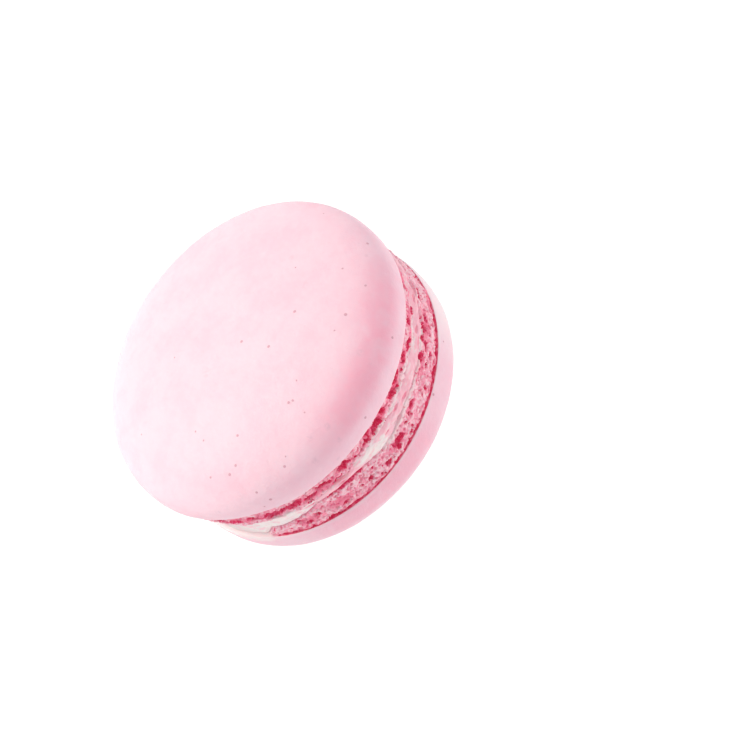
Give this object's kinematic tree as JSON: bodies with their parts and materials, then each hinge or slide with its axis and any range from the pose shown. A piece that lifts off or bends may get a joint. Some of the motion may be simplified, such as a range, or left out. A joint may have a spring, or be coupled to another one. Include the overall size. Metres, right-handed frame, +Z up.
{
  "type": "macaron",
  "caption": "Round pink almond macaron lying flat: a smooth domed cap and ruffled foot on each shell, with pale cream between them.",
  "frame": {"origin": "on the surface the macaron rests on, under the middle of its round outline", "axes": "+Z up through the middle of both shells, from the lower cap to the upper cap; -Y towards the side seen in the picture; +X to the viewer's right there"},
  "size_m": [0.0444, 0.044, 0.0248],
  "materials": {
    "shell": "matte baked almond meringue, smooth on the caps and full of small open bubbles on the feet",
    "cream": "soft off-white cream with a dull sheen"
  },
  "bodies": {
    "root": {"upper_shell": "shell", "filling": "cream", "lower_shell": "shell"}
  },
  "joints": []
}
